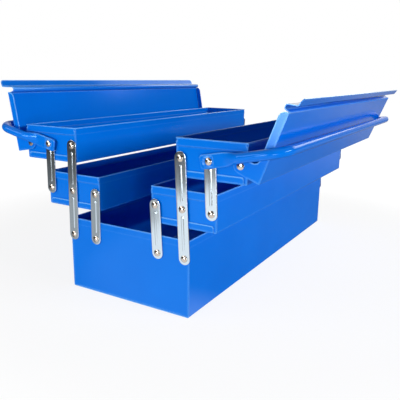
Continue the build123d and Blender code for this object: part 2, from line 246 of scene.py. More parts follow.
def add_node(tree, kind, settings=None, values=None, links=None):
    """New shader node: settings are its attributes, values and links go to its inputs."""
    node = tree.nodes.new(kind)
    for key, value in (settings or {}).items():
        setattr(node, key, value)
    for key, value in (values or {}).items():
        node.inputs[key].default_value = value
    for key, output in (links or {}).items():
        tree.links.new(output, node.inputs[key])
    return node


def new_material(name):
    """Empty node material, with its tree."""
    material = bpy.data.materials.new(name)
    material.use_nodes = True
    material.node_tree.nodes.clear()
    return material, material.node_tree


def finish_surface(tree, shader):
    """Send a shader to the material's output."""
    add_node(tree, "ShaderNodeOutputMaterial", links={"Surface": shader.outputs["BSDF"]})


def highlight_and_shade_masks(tree, edge_width, crease_reach):
    """Masks of a sheet: painted highlight up to 1 on outer edges, painted shade 1 in inner
    corners.

    Near an edge the surface turns away from the mean of its surroundings. The highlight is full on
    rims, whose mean faces up where the light falls, and weak on upright corners and lower edges.
    In a corner the piece hides much of its own sky, and the shade painted there stands in for its
    shadow. Both come from the piece alone and not from its neighbours.
    """
    mean = add_node(
        tree, "ShaderNodeBevel", settings={"samples": 6}, values={"Radius": edge_width}
    ).outputs["Normal"]
    facing = add_node(tree, "ShaderNodeNewGeometry").outputs["Normal"]
    turned = add_node(
        tree,
        "ShaderNodeVectorMath",
        settings={"operation": "DOT_PRODUCT"},
        links={0: mean, 1: facing},
    )
    open_sky = add_node(
        tree,
        "ShaderNodeAmbientOcclusion",
        settings={"samples": 6, "only_local": True},
        values={"Distance": crease_reach},
    ).outputs["AO"]
    # Painted shade: dark where the piece hides its own sky, in inner corners and creases
    crease_shade = add_node(
        tree,
        "ShaderNodeMapRange",
        values=CREASE_SKY,
        links={"Value": open_sky},
    ).outputs["Result"]
    bent = add_node(
        tree,
        "ShaderNodeMapRange",
        values=EDGE_TURN,
        links={"Value": turned.outputs["Value"]},
    ).outputs["Result"]
    edge = add_node(
        tree,
        "ShaderNodeMath",
        settings={"operation": "SUBTRACT", "use_clamp": True},
        links={0: bent, 1: crease_shade},
    ).outputs[0]
    own_mean = add_node(
        tree,
        "ShaderNodeVectorTransform",
        settings={"vector_type": "NORMAL", "convert_from": "WORLD", "convert_to": "OBJECT"},
        links={"Vector": mean},
    ).outputs["Vector"]
    mean_height = add_node(tree, "ShaderNodeSeparateXYZ", links={0: own_mean}).outputs["Z"]
    top_lit_share = add_node(
        tree,
        "ShaderNodeMapRange",
        values={"From Min": 0.0, "From Max": EDGE_FACES_UP, "To Min": LOW_EDGE_SHARE},
        links={"Value": mean_height},
    ).outputs["Result"]
    # Painted highlight: the edge mask, strongest where the edge faces up towards the light
    painted_edge_highlight = add_node(
        tree, "ShaderNodeMath", settings={"operation": "MULTIPLY"}, links={0: edge, 1: top_lit_share}
    ).outputs[0]
    return painted_edge_highlight, crease_shade


def powder_coat(settings):
    """Powder coat on folded steel: sprayed dry and baked to a thick gloss film.

    The film flows out into orange peel, low swells a few millimetres across, which break up
    reflections. Its colour varies a little where the film is thinner. Outer edges get a paler
    painted highlight, most on rims that face up, and inner corners a dark painted shade.
    """
    material, tree = new_material("blue_powder_coat")
    place = add_node(tree, "ShaderNodeTexCoord").outputs["Object"]
    peel = add_node(
        tree,
        "ShaderNodeTexNoise",
        values={"Scale": 1 / settings.peel_size, "Detail": 2.0, "Roughness": 0.45},
        links={"Vector": place},
    )
    film = add_node(
        tree,
        "ShaderNodeTexNoise",
        values={"Scale": 1 / settings.film_patch, "Detail": 2.0},
        links={"Vector": place},
    )
    # Painted highlight on the outer edges and painted shade in the inner corners, laid over the
    # film
    edge, crease_shade = highlight_and_shade_masks(tree, settings.highlight_reach, settings.crease_reach)
    layers = (
        (film.outputs["Fac"], settings.colour),
        (edge, settings.painted_edge_highlight),
        (crease_shade, settings.crease_shade),
    )
    shade = None
    for share, colour in layers:
        mix = add_node(
            tree,
            "ShaderNodeMix",
            settings={"data_type": "RGBA"},
            values={"A": settings.thin, "B": colour},
            links={"Factor": share} if shade is None else {"Factor": share, "A": shade},
        )
        shade = mix.outputs["Result"]
    swell = add_node(
        tree,
        "ShaderNodeBump",
        values={"Strength": settings.peel_strength, "Distance": settings.peel_height},
        links={"Height": peel.outputs["Fac"]},
    )
    shader = add_node(
        tree,
        "ShaderNodeBsdfPrincipled",
        values={
            "Roughness": settings.roughness,
            "IOR": PAINT_IOR,
            "Specular IOR Level": PAINT_GLOSS,
            "Specular Tint": settings.sheen,
        },
        links={"Base Color": shade, "Normal": swell.outputs["Normal"]},
    )
    finish_surface(tree, shader)
    return material


def bright_zinc(settings):
    """Bright zinc plate on rolled steel strip: clear silver, with faint rolling lines along it.

    The lines are too fine for the picture at their real spacing and are drawn coarser.
    """
    material, tree = new_material("bright_zinc_plate")
    place = add_node(tree, "ShaderNodeTexCoord").outputs["Object"]
    along = add_node(
        tree,
        "ShaderNodeMapping",
        values={"Scale": (1.0, 1.0, settings.line_stretch)},
        links={"Vector": place},
    )
    lines = add_node(
        tree,
        "ShaderNodeTexNoise",
        values={"Scale": 1 / settings.line_width, "Detail": 3.0},
        links={"Vector": along.outputs["Vector"]},
    )
    gloss = add_node(
        tree,
        "ShaderNodeMapRange",
        values={
            "To Min": settings.roughness + ZINC_SPREAD[0],
            "To Max": settings.roughness + ZINC_SPREAD[1],
        },
        links={"Value": lines.outputs["Fac"]},
    )
    shader = add_node(
        tree,
        "ShaderNodeBsdfPrincipled",
        values={"Base Color": settings.colour, "Metallic": 1.0},
        links={"Roughness": gloss.outputs["Result"]},
    )
    finish_surface(tree, shader)
    return material


def warm_nickel(settings):
    """Nickel plate on cold-headed steel rivets: warmer than zinc, mottled by faint tool marks.

    The marks are too fine for the picture at their real size and are drawn coarser.
    """
    material, tree = new_material("warm_nickel_plate")
    place = add_node(tree, "ShaderNodeTexCoord").outputs["Object"]
    marks = add_node(
        tree,
        "ShaderNodeTexNoise",
        values={"Scale": 1 / settings.mark_size, "Detail": 2.0},
        links={"Vector": place},
    )
    gloss = add_node(
        tree,
        "ShaderNodeMapRange",
        values={
            "To Min": settings.rivet_roughness + NICKEL_SPREAD[0],
            "To Max": settings.rivet_roughness + NICKEL_SPREAD[1],
        },
        links={"Value": marks.outputs["Fac"]},
    )
    tone = add_node(
        tree,
        "ShaderNodeMix",
        settings={"data_type": "RGBA"},
        values={"A": settings.nickel, "B": settings.nickel_dull},
        links={"Factor": marks.outputs["Fac"]},
    )
    shader = add_node(
        tree,
        "ShaderNodeBsdfPrincipled",
        values={"Metallic": 1.0},
        links={"Base Color": tone.outputs["Result"], "Roughness": gloss.outputs["Result"]},
    )
    finish_surface(tree, shader)
    return material


def material_named(name):
    """A material that an earlier operator made."""
    material = bpy.data.materials.get(name)
    if material is None:
        raise RuntimeError(f"{name} isn't there yet: run the finishes first")
    return material


# Shapes that the pieces share


def hole_cell(ring, centre):
    """Sheet between a round hole and a closed boundary, ruled from one to the other.

    A point is the hole's rim in the direction of its boundary point, moved towards that point
    by one of HOLE_STEPS. Gives points (step, place on the boundary, 2) in the sheet's own plane.
    """
    spoke = ring - centre
    rim = centre + HOLE_RADIUS * spoke / np.hypot(*spoke.T)[:, None]
    return rim + (ring - rim) * np.array(HOLE_STEPS)[:, None, None]


def merge_shell(name, parts, material, sharp_degrees):
    """One closed mesh from several grids that share their borders' points.

    parts holds (points, faces) pairs. Points closer than MERGE become one.
    """
    grids = [np.asarray(points).reshape(-1, 3) for points, _ in parts]
    starts = np.cumsum([0] + [len(grid) for grid in grids[:-1]])
    quads = np.vstack([np.asarray(faces) + start for (_, faces), start in zip(parts, starts)])
    mesh = bpy.data.meshes.new(name)
    mesh.from_pydata(np.vstack(grids).tolist(), [], quads.tolist())
    build = bmesh.new()
    build.from_mesh(mesh)
    bmesh.ops.remove_doubles(build, verts=build.verts[:], dist=MERGE)
    bmesh.ops.dissolve_degenerate(build, edges=build.edges[:], dist=MERGE)
    build.to_mesh(mesh)
    build.free()
    piece = add_piece(name, mesh, material)
    mesh.set_sharp_from_angle(angle=radians(sharp_degrees))
    return piece


def smooth_step(low, high, value):
    """0 up to low, 1 from high on, and an even S curve between."""
    share = np.clip((value - low) / (high - low), 0, 1)
    return share * share * (3 - 2 * share)


# Links


def link_ends(node):
    """Low and high hole (y, z) of a link, from its box. Every link leans inward as it stands."""
    low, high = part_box(node)
    half = LINK_WIDTH / 2
    side = 1 if low[1] + high[1] > 0 else -1
    reach = sorted((abs(low[1]), abs(high[1])))
    foot = np.array([side * (reach[1] - half), low[2] + half])
    head = np.array([side * (reach[0] + half), high[2] - half])
    return foot, head


def rib_height(along, across, holes, foot, top, height):
    """Height of the ribs: full within top of the rib's line, none beyond foot, an S curve between.

    A rib's line runs from one hole to the next, shortened at both ends.
    """
    rise = np.zeros(np.broadcast(along, across).shape)
    for low, high in zip(holes, holes[1:]):
        start, stop = low + RIB_START, high - RIB_START
        gap = np.hypot(along - np.clip(along, start, stop), across)
        rise = np.maximum(rise, height * (1 - smooth_step(top, foot, gap)))
    return rise


def side_steps(start, stop):
    """Places along a link's long side between two cells, closer together at the ribs' ends."""
    near = np.array([0.6, 1.2, 1.7, 2.2, 2.7, 3.3, 4.0, 5.0, 7.0]) * MM
    past_ends = 10 * MM
    middle = np.linspace(start + past_ends, stop - past_ends, 6)
    return np.concatenate(([start], start + near, middle, (stop - near)[::-1], [stop]))


def link_parts(holes, edge_round, rib_rise):
    """Grids of a link in its own frame: along the link, across it, and out of the box.

    Both faces are cells ruled round the holes with plain grids between them, lifted by the rib.
    The edge is two quarter rounds with a flat between them, carried round the slot outline.
    """
    inset = LINK_WIDTH / 2 - edge_round
    half = np.array([0, 0.35, 0.7, 0.95, 1.15, 1.35, 1.55, 1.75, 2.0, 2.4, 3.4, 4.8, 6.2]) * MM
    half = np.append(half, inset)
    across = np.concatenate((-half[:0:-1], half))
    turn = np.linspace(0, pi, 25)
    cap = np.stack((-np.sin(turn), np.cos(turn)), axis=-1) * inset
    run = np.linspace(0, inset, 4)
    last = holes[-1]

    def side(places, edge):
        """Points at the places along a link's long side."""
        return np.stack((places, np.full_like(places, edge)), axis=-1)

    def lifted(spot, flank_end, flank_start, face):
        """Points of a face, with the ribs' height added to its own."""
        along, across = spot[..., 0], spot[..., 1]
        rise = rib_height(along, across, holes, flank_end, flank_start, rib_rise)
        return np.concatenate((spot, (face + rise)[..., None]), axis=-1)

    gate = np.stack((np.full_like(across, inset), across), axis=-1)
    end_ring = np.vstack((gate, side(run[::-1], inset)[1:], cap[1:], side(run, -inset)[1:-1]))
    rings = [(end_ring, holes[0]), (np.array([last, 0.0]) - end_ring, last)]
    for hole in holes[1:-1]:
        whole = np.concatenate((-run[:0:-1], run))
        near_side, far_side = side(whole[::-1], inset)[1:], side(whole, -inset)[1:-1]
        ring = np.vstack((gate, near_side, -gate[1:], far_side))
        rings.append((ring + [hole, 0], hole))
    parts = []
    for ring, hole in rings:
        cell = hole_cell(ring, np.array([hole, 0.0]))
        faces = grid_faces(len(HOLE_STEPS), len(ring), wrap_columns=True)
        parts.append((lifted(cell, *LINK_OUTSIDE), faces))
        parts.append((lifted(cell, *LINK_INSIDE), faces[:, ::-1]))
        wall = np.stack((lifted(cell[0], *LINK_INSIDE), lifted(cell[0], *LINK_OUTSIDE)))
        parts.append((wall, grid_faces(2, len(ring), wrap_columns=True)))
    spans = []
    for low, high in zip(holes, holes[1:]):
        places = side_steps(low + inset, high - inset)
        spot = np.stack(np.meshgrid(places, across, indexing="ij"), axis=-1)
        faces = grid_faces(*spot.shape[:2])
        parts.append((lifted(spot, *LINK_OUTSIDE), faces))
        parts.append((lifted(spot, *LINK_INSIDE), faces[:, ::-1]))
        spans.append(places)
    stations = [run]
    for places, hole in zip(spans, holes[1:]):
        stations.append(places)
        stations.append(hole + (np.concatenate((-run[:0:-1], run)) if hole < last else -run[::-1]))
    along = np.unique(np.round(np.concatenate(stations), 9))
    low_side, high_side = side(along, -inset)[1:], side(along[::-1], inset)[1:-1]
    loop = np.vstack((cap, low_side, [last, 0] - cap[1:], high_side))
    low_out, high_out = side(0 * along, -1)[1:], side(0 * along, 1)[1:-1]
    normal = np.vstack((cap / inset, low_out, -cap[1:] / inset, high_out))
    bend = np.linspace(0, pi / 2, 5)
    out = np.concatenate((np.sin(bend), np.sin(bend)[::-1])) * edge_round
    drop = (1 - np.cos(bend)) * edge_round
    height = np.concatenate((LINK_SHEET - drop, drop[::-1]))
    edge = np.empty((len(out), len(loop), 3))
    edge[..., :2] = loop + out[:, None, None] * normal
    edge[..., 2] = height[:, None]
    parts.append((edge, grid_faces(len(out), len(loop), wrap_columns=True)))
    return parts


def place_link(node, sizes, material):
    """Pressed link for a CAD link: three holes in a long one, two in a short one."""
    foot, head = link_ends(node)
    span = np.hypot(*(head - foot))
    holes = [0.0, span / 2, span] if "long" in node else [0.0, span]
    low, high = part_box(node)
    sign = 1 if low[0] > 0 else -1
    seat = min(abs(low[0]), abs(high[0]))
    up = (head - foot) / span
    sideways = sign * np.array([-up[1], up[0]])
    parts = []
    for spot, faces in link_parts(holes, sizes.link_edge, sizes.rib_rise):
        spot = spot.reshape(-1, 3)
        flat = foot + spot[:, :1] * up + spot[:, 1:2] * sideways
        parts.append((np.column_stack((sign * (seat + spot[:, 2]), flat)), faces))
    piece = merge_shell(f"pressed_{node}", parts, material, SHARP_LINK)
    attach(piece, body_of_node(node))
    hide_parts(node)


# Rivets


def turned_parts(centre, sign, profile):
    """Surface of revolution about X from (radius, distance) pairs.

    A point is the centre plus its radius times the cosine and sine of the turn in y and z, with
    its distance out of the box along X. Radius 0 at both ends closes the shape when merged.
    """
    turn = np.linspace(0, 2 * pi, RIVET_SEGMENTS, endpoint=False) * sign
    radius, out = profile.T
    ring = np.stack((np.cos(turn), np.sin(turn)), axis=-1)
    points = np.empty((len(profile), RIVET_SEGMENTS, 3))
    points[..., 0] = sign * out[:, None]
    points[..., 1:] = centre + radius[:, None, None] * ring
    return points, grid_faces(len(profile), RIVET_SEGMENTS, wrap_columns=True)[:, ::-1]


def round_corner(corner, first, second, size):
    """Quarter-round of a profile's corner, from the side that faces first to the one at second."""
    corner, first, second = np.array([corner, first, second], float)
    turn = np.linspace(0, pi / 2, 4)[:, None]
    return corner + size * ((np.cos(turn) - 1) * first + (np.sin(turn) - 1) * second)


def head_profile(base, height):
    """Domed head: a flat underside, a short rolled rim and a crown that is a slice of a ball."""
    rim = RIM_SHARE * height
    reach = HEAD_RADIUS - CROWN_INSET
    rise = height - rim
    ball = (reach**2 + rise**2) / (2 * rise)
    turn = np.linspace(0, 1, 11)[1:]
    radius = reach * np.cos(turn * pi / 2)
    radius[-1] = 0
    crown = np.sqrt(ball**2 - radius**2) - (ball - rise) + rim
    rolled = round_corner((HEAD_RADIUS, base + rim), (1, 0), (0, 1), RIM_ROUND)
    start = [
        (SHANK_RADIUS, base),
        (HEAD_RADIUS - RIM_UNDERCUT, base),
        (HEAD_RADIUS, base + RIM_ROUND),
    ]
    return np.vstack((start, rolled, np.stack((radius, base + crown), axis=-1)))


def rivet_profile(wall, seat, grip, crown):
    """Profile of a rivet from its closed inner head to its crown, as (radius, distance) pairs.

    wall is the outer face of the panel that holds it, seat and grip the two faces of what turns
    on it, and crown the top of its head. All are distances out of the box.
    """
    back = wall - PANEL_SHEET - INNER_HEAD
    inner = round_corner((SHOULDER_RADIUS, back), (1, 0), (0, -1), INNER_HEAD_ROUND)[::-1]
    steps = [
        (SHOULDER_RADIUS, wall - PANEL_SHEET),
        (SHANK_RADIUS, wall - PANEL_SHEET),
        (SHANK_RADIUS, wall),
        (SHOULDER_RADIUS, wall),
        (SHOULDER_RADIUS, seat - END_PLAY),
        (SHANK_RADIUS, seat - END_PLAY),
    ]
    base = grip + END_PLAY
    return np.vstack(([(0, back)], inner, steps, head_profile(base, crown - base)))


def place_rivets(node, centres, material):
    """Rivets of one CAD node at both ends of the box.

    centres holds (place, wall, seat, grip, crown) rows, and a row may end in the two faces of a
    spacer between the two pieces that turn on it.
    """
    parts = []
    for sign in ENDS.values():
        for place, wall, seat, grip, crown, *spacer in centres:
            profile = rivet_profile(wall, seat, grip, crown)
            if spacer:
                near, far = spacer
                collar = [
                    (SHANK_RADIUS, near),
                    (SHOULDER_RADIUS, near),
                    (SHOULDER_RADIUS, far),
                    (SHANK_RADIUS, far),
                ]
                after = int(np.argmax((profile[:, 1] > near) & (profile[:, 1] > wall)))
                profile = np.vstack((profile[:after], collar, profile[after:]))
            parts.append(turned_parts(place, sign, profile))
    piece = merge_shell(f"domed_{node}", parts, material, SHARP_RIVET)
    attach(piece, body_of_node(node))
    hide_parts(node)


# Handles


def handle_rows(reach, leg, tip_round):
    """Rows of a handle from its right tip to its left tip, in its own plane.

    Gives the centre (x, reach), the angle of the outward side, the half width and half thickness
    of the flattened part, and how round the tube is, 0 for flat and 1 for round. The tip's plan is
    two quarter rounds, and its thickness falls to nothing over a quarter round.
    """
    tip = np.array([0, 0.08, 0.3, 0.7, 1.3, 2.1, 3.1, 4.3]) * MM - FLAT_TIP
    blade = np.arange(-6, 17, 1.5) * MM
    neck = np.linspace(FLAT_LENGTH, NECK_END, 23)
    tube = np.array([55 * MM, 64 * MM, reach - HANDLE_BEND])
    out = np.concatenate((tip, blade, neck, tube))
    x = FLAT_MIDDLE + (leg - FLAT_MIDDLE) * smooth_step(FLAT_LENGTH, NECK_END, out)
    turn = np.linspace(0, pi / 2, 15)[1:]
    grip = np.linspace(leg - HANDLE_BEND, 0, 9)[1:]
    x = np.concatenate((x, leg - HANDLE_BEND + HANDLE_BEND * np.cos(turn), grip))
    bend = reach - HANDLE_BEND + HANDLE_BEND * np.sin(turn)
    angle = np.concatenate((0 * out, turn, np.full(len(grip), pi / 2)))
    out = np.concatenate((out, bend, np.full(len(grip), reach)))
    from_tip = np.minimum(out + FLAT_TIP, tip_round)
    width = FLAT_WIDTH / 2 - tip_round + np.sqrt(from_tip * (2 * tip_round - from_tip))
    from_tip = np.minimum(out + FLAT_TIP, FLAT_THICKNESS / 2)
    thick = np.sqrt(from_tip * (FLAT_THICKNESS - from_tip))
    full = smooth_step(ROUND_START, NECK_END, out) * (angle == 0) + (angle > 0)
    back = slice(-2, None, -1)
    x, angle = np.concatenate((x, -x[back])), np.concatenate((angle, pi - angle[back]))
    rows = [np.concatenate((row, row[back])) for row in (out, width, thick, full)]
    return (x, angle, *rows)


def handle_parts(reach, leg, tip_round, press_depth):
    """Grids of a handle in its plane: x, reach and height off the plane.

    A section runs across the outward side and back across the inner one. It is a flat oval with
    round edges at the tips and a circle in the tube, and in the neck a mix of the two. A cell
    with a hole stands in for the middle of each face at both tips, and a shallow dish is pressed
    about it into the outward face.
    """
    x, angle, out, width, thick, full = handle_rows(reach, leg, tip_round)
    half = [0, 1, 2, 3, 4, 5, 6, 6.3, 6.6, 6.9, 7.2, 7.55, 7.9, 8.2, 8.45, 8.65, 8.73]
    share = np.append(np.array(half) * MM / (FLAT_WIDTH / 2), 1.0)
    share = np.concatenate((-share[:0:-1], share))
    count = len(share)
    share = np.concatenate((share, share[-2:0:-1]))
    side = np.concatenate((np.ones(count), -np.ones(len(share) - count)))
    across = width[:, None] * share
    past = np.maximum(np.abs(across) - (width - thick)[:, None], 0)
    lift = np.sqrt(np.maximum(thick[:, None] ** 2 - past**2, 0))
    full = full[:, None]
    across = (1 - full) * across + full * TUBE_RADIUS * np.sin(share * pi / 2)
    lift = (1 - full) * lift + full * TUBE_RADIUS * np.cos(share * pi / 2)
    from_hole = np.hypot(across, out[:, None])
    press = press_depth * (1 - smooth_step(DISH_FLOOR, DISH_EDGE, from_hole))
    lift = side * lift - press * (side > 0) * (1 - full) * (thick[:, None] > 0)
    off = np.stack((np.cos(angle), np.sin(angle)), axis=-1)
    points = np.empty((len(x), len(share), 3))
    points[..., 0] = x[:, None] + lift * off[:, :1]
    points[..., 1] = out[:, None] + lift * off[:, 1:]
    points[..., 2] = across
    faces = grid_faces(len(x), len(share), wrap_columns=True)
    faces = faces.reshape(len(x) - 1, len(share), 4)
    keep = np.ones(faces.shape[:2], bool)
    row_in = np.flatnonzero(np.abs(out) <= HOLE_BLOCK + MERGE)
    near_hole = np.abs(share * FLAT_WIDTH / 2) <= HOLE_BLOCK + MERGE
    parts = []
    for rows in (row_in[row_in < len(x) // 2], row_in[row_in >= len(x) // 2]):
        loops = []
        for face in (1, -1):
            columns = np.flatnonzero((side == face) & near_hole)
            keep[rows[0] : rows[-1], columns[0] : columns[-1]] = False
            block = points[rows[0] : rows[-1] + 1, columns[0] : columns[-1] + 1]
            top, right = block[0, :-1], block[:-1, -1]
            low, left = block[-1, :0:-1], block[:0:-1, 0]
            ring = np.vstack((top, right, low, left))
            flat = hole_cell(ring[:, 1:], np.zeros(2))
            off_axis = np.broadcast_to(ring[:, :1], flat.shape[:2] + (1,))
            cell = np.concatenate((off_axis, flat), axis=-1)
            parts.append((cell, grid_faces(len(HOLE_STEPS), len(ring), wrap_columns=True)))
            loops.append(cell[0])
        first, second = loops
        order = np.argsort(np.arctan2(first[:, 2], first[:, 1]))
        other = np.argsort(np.arctan2(second[:, 2], second[:, 1]))
        wall = np.stack((first[order], second[other]))
        faces_in = grid_faces(2, len(order), wrap_columns=True)
        parts.append((wall, faces_in if first[0, 0] > 0 else faces_in[:, ::-1]))
    parts.append((points, faces[keep]))
    return parts


def place_handle(side, sizes, material):
    """Handle of one side: bent tube with flattened, pierced ends."""
    node = f"{side}_handle"
    sign = SIDES[side]
    hinge = joint_at(f"{side}_handle_hinge")
    low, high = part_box(node)
    far = max(abs(low[1]), abs(high[1])) - TUBE_RADIUS - abs(hinge[0])
    rise = high[2] - TUBE_RADIUS - hinge[1]
    reach = hypot(far, rise)
    outward = np.array([0, sign * far, rise]) / reach
    above = np.cross([1, 0, 0], outward)
    axes = np.array([[1, 0, 0], outward, above])
    origin = np.array([0, *hinge])
    grids = handle_parts(reach, high[0] - TUBE_RADIUS, sizes.tip_round, sizes.press_depth)
    parts = [(origin + points.reshape(-1, 3) @ axes, faces) for points, faces in grids]
    piece = merge_shell(f"bent_{node}", parts, material, SHARP_HANDLE)
    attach(piece, body_of_node(node))
    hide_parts(node)


# Stage


def seen_directly(tree, *kinds):
    """1 for rays of any of the named kinds, such as Is Camera Ray, and 0 for the rest."""
    rays = add_node(tree, "ShaderNodeLightPath")
    total = rays.outputs[kinds[0]]
    for kind in kinds[1:]:
        largest = add_node(
            tree,
            "ShaderNodeMath",
            settings={"operation": "MAXIMUM"},
            links={0: total, 1: rays.outputs[kind]},
        )
        total = largest.outputs[0]
    return total


def build_floor(table_glow):
    """Floor that is white to the camera and keeps the box's shadow.

    In reflections it has pools of light beyond the ends of the box and is dim elsewhere, and
    surfaces near it get the light of a lit table.
    """
    material, tree = new_material("pale_floor")
    place = add_node(tree, "ShaderNodeTexCoord").outputs["Object"]
    away = add_node(
        tree, "ShaderNodeVectorMath", settings={"operation": "LENGTH"}, links={"Vector": place}
    )
    pools = []
    for centre, near, far, bright, dim in MIRRORED_POOLS:
        gap = add_node(
            tree,
            "ShaderNodeVectorMath",
            settings={"operation": "DISTANCE"},
            values={1: centre},
            links={0: place},
        )
        pool = add_node(
            tree,
            "ShaderNodeMapRange",
            settings={"interpolation_type": "SMOOTHSTEP"},
            values={"From Min": near, "From Max": far, "To Min": bright, "To Max": dim},
            links={"Value": gap.outputs["Value"]},
        )
        pools.append(pool.outputs["Result"])
    mirrored = pools[0]
    for pool in pools[1:]:
        larger = add_node(
            tree, "ShaderNodeMath", settings={"operation": "MAXIMUM"}, links={0: mirrored, 1: pool}
        )
        mirrored = larger.outputs[0]
    far_white = add_node(
        tree,
        "ShaderNodeMapRange",
        settings={"interpolation_type": "SMOOTHSTEP"},
        values=FLOOR_WHITE,
        links={"Value": away.outputs["Value"]},
    )
    glossy = seen_directly(tree, "Is Glossy Ray", "Is Transmission Ray")
    camera = seen_directly(tree, "Is Camera Ray")
    table_light = add_node(
        tree,
        "ShaderNodeMath",
        settings={"operation": "MULTIPLY"},
        values={1: table_glow},
        links={0: seen_directly(tree, "Is Diffuse Ray")},
    )
    in_metal = add_node(
        tree,
        "ShaderNodeMath",
        settings={"operation": "MULTIPLY"},
        links={0: mirrored, 1: glossy},
    )
    glow = add_node(
        tree,
        "ShaderNodeMath",
        settings={"operation": "MULTIPLY_ADD"},
        links={0: camera, 1: far_white.outputs["Result"], 2: in_metal.outputs[0]},
    )
    table = add_node(
        tree,
        "ShaderNodeMath",
        settings={"operation": "MAXIMUM"},
        links={0: glow.outputs[0], 1: table_light.outputs[0]},
    )
    shader = add_node(
        tree,
        "ShaderNodeBsdfPrincipled",
        values={
            "Base Color": linear_colour(FLOOR_GREY),
            "Roughness": FLOOR_ROUGHNESS,
            "Specular IOR Level": 0.0,
            "Emission Color": linear_colour("FFFFFF"),
        },
        links={"Emission Strength": table.outputs[0]},
    )
    finish_surface(tree, shader)
    half = FLOOR_HALF
    corners = [(-half, -half, 0), (half, -half, 0), (half, half, 0), (-half, half, 0)]
    mesh = bpy.data.meshes.new("floor")
    mesh.from_pydata(corners, [], [(0, 1, 2, 3)])
    floor = add_piece("floor", mesh, material)


def build_sky(strength):
    """Sky: white to the camera, and weak as a lamp.

    In reflections it has a white backdrop behind the box and is half as bright overhead.
    """
    world = bpy.data.worlds.new("studio_sky")
    world.use_nodes = True
    tree = world.node_tree
    tree.nodes.clear()
    ray = add_node(tree, "ShaderNodeTexCoord").outputs["Generated"]
    height = add_node(tree, "ShaderNodeSeparateXYZ", links={"Vector": ray}).outputs["Z"]
    facing = add_node(
        tree,
        "ShaderNodeVectorMath",
        settings={"operation": "DOT_PRODUCT"},
        values={1: BACKDROP_DIRECTION},
        links={0: ray},
    )
    backdrop = add_node(
        tree,
        "ShaderNodeMapRange",
        settings={"interpolation_type": "SMOOTHSTEP"},
        values=BACKDROP,
        links={"Value": facing.outputs["Value"]},
    )
    overhead = add_node(
        tree,
        "ShaderNodeMapRange",
        values=SKY_TOP,
        links={"Value": height},
    )
    gradient = add_node(
        tree,
        "ShaderNodeMath",
        settings={"operation": "MAXIMUM"},
        links={0: backdrop.outputs["Result"], 1: overhead.outputs["Result"]},
    )
    mirrored = add_node(
        tree,
        "ShaderNodeMix",
        values={"A": strength},
        links={
            "Factor": seen_directly(tree, "Is Glossy Ray", "Is Transmission Ray"),
            "B": gradient.outputs[0],
        },
    )
    level = add_node(
        tree,
        "ShaderNodeMix",
        values={"B": 1.0},
        links={"Factor": seen_directly(tree, "Is Camera Ray"), "A": mirrored.outputs["Result"]},
    )
    sky = add_node(
        tree,
        "ShaderNodeBackground",
        values={"Color": linear_colour("FFFFFF")},
        links={"Strength": level.outputs["Result"]},
    )
    add_node(tree, "ShaderNodeOutputWorld", links={"Surface": sky.outputs["Background"]})
    bpy.context.scene.world = world


def area_lamp(name, place, aim, width, height, power):
    """Soft box at a place, turned to its aim, out of the camera's sight."""
    data = bpy.data.lights.new(name, "AREA")
    data.shape = "RECTANGLE"
    data.size = width
    data.size_y = height
    data.energy = power
    lamp = bpy.data.objects.new(name, data)
    lamp.location = place
    lamp.rotation_euler = (Vector(aim) - Vector(place)).to_track_quat("-Z", "Y").to_euler()
    lamp.visible_camera = False
    bpy.context.scene.collection.objects.link(lamp)


def build_camera(focal):
    """Camera at the photograph's place, turned to its target and rolled a little."""
    azimuth, elevation, roll = (radians(turn) for turn in CAMERA_TURN)
    back = Vector((sin(azimuth) * cos(elevation), -cos(azimuth) * cos(elevation), sin(elevation)))
    level = (-back).cross(Vector((0, 0, 1))).normalized()
    above = level.cross(-back)
    right = level * cos(roll) + above * sin(roll)
    up = above * cos(roll) - level * sin(roll)
    data = bpy.data.cameras.new("camera")
    data.sensor_width = SENSOR_WIDTH
    data.lens = focal
    camera = bpy.data.objects.new("camera", data)
    turn = Matrix((right, up, back)).transposed()
    place = Vector(CAMERA_TARGET) + back * CAMERA_DISTANCE
    camera.matrix_world = Matrix.Translation(place) @ turn.to_4x4()
    bpy.context.scene.collection.objects.link(camera)
    bpy.context.scene.camera = camera


# Settings


def length_property(name, description, default):
    """Setting for a length in metres, shown in the scene's unit."""
    return bpy.props.FloatProperty(
        name=name,
        description=description,
        default=default,
        min=0,
        precision=5,
        subtype="DISTANCE",
        unit="LENGTH",
    )


def share_property(name, description, default):
    """Setting for a share between 0 and 1."""
    return bpy.props.FloatProperty(
        name=name, description=description, default=default, min=0, max=1, subtype="FACTOR"
    )


def colour_property(name, description, code):
    """Setting for a colour, from its sRGB hex code."""
    return bpy.props.FloatVectorProperty(
        name=name,
        description=description,
        default=linear_colour(code),
        size=4,
        min=0,
        max=1,
        subtype="COLOR",
    )


def power_property(name, description, default):
    """Setting for a lamp's power in watts."""
    return bpy.props.FloatProperty(
        name=name, description=description, default=default, min=0, unit="POWER"
    )


class ToolBoxSizes(bpy.types.PropertyGroup):
    """Sizes of the detail that the operators add"""

    sheet_edge: length_property("Sheet Edge", "Round along the edges of folded sheet", 0.42 * MM)
    link_edge: length_property("Link Edge", "Round along the edge of a link", 0.4 * MM)
    rib_rise: length_property("Rib Rise", "Height of the ribs pressed into the links", 0.7 * MM)
    head_height: length_property("Head Height", "Height of a link rivet's domed head", 2.2 * MM)
    lid_head_height: length_property("Lid Head Height", "Height of a lid rivet's head", 1.5 * MM)
    tip_round: length_property("Tip Round", "Corner radius of a handle's flat tips", 4.5 * MM)
    press_depth: length_property("Press Depth", "Depth of the dish pressed round a hole", 0.6 * MM)


